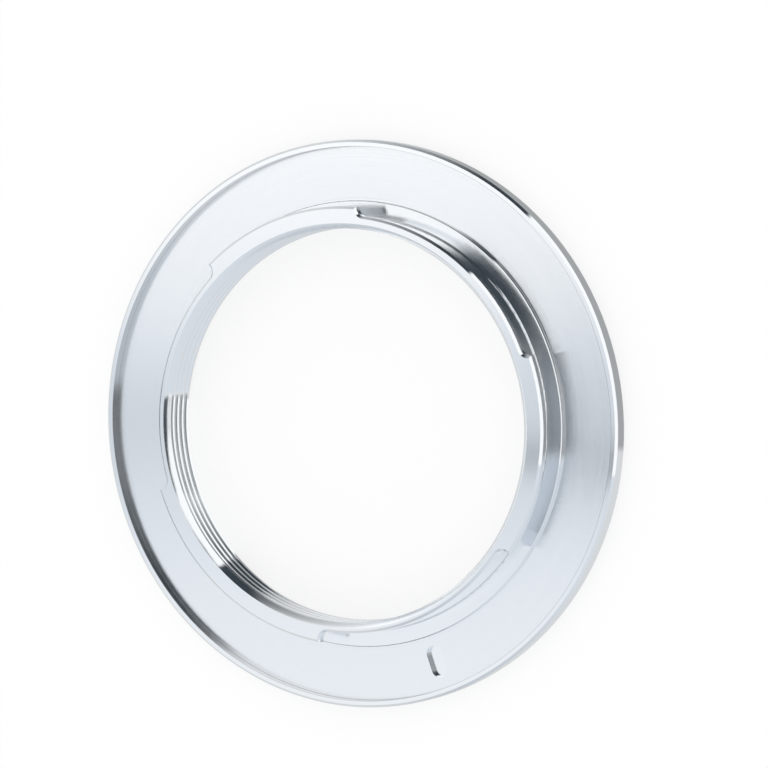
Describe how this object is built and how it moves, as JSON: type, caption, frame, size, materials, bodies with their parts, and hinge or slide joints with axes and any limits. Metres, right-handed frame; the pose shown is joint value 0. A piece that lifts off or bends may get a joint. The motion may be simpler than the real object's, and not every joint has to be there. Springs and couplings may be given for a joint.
{
  "type": "lens mount adapter",
  "caption": "Flat metal ring that joins a screw-thread lens to a camera body: a threaded bore at the back and a bayonet with undercut lugs at the front.",
  "frame": {"origin": "on the lens axis, in the plane of the back face that the ring lies on", "axes": "+Z along the lens axis from the lens side to the bayonet, +X towards angle zero of the lug angles, with the locking-pin slot at 288.6 degrees anticlockwise from it"},
  "size_m": [0.0592, 0.0592, 0.0052],
  "materials": {
    "turned_metal": "satin, fine turned grain"
  },
  "bodies": {
    "root": {"adapter_ring": "turned_metal"}
  },
  "joints": []
}
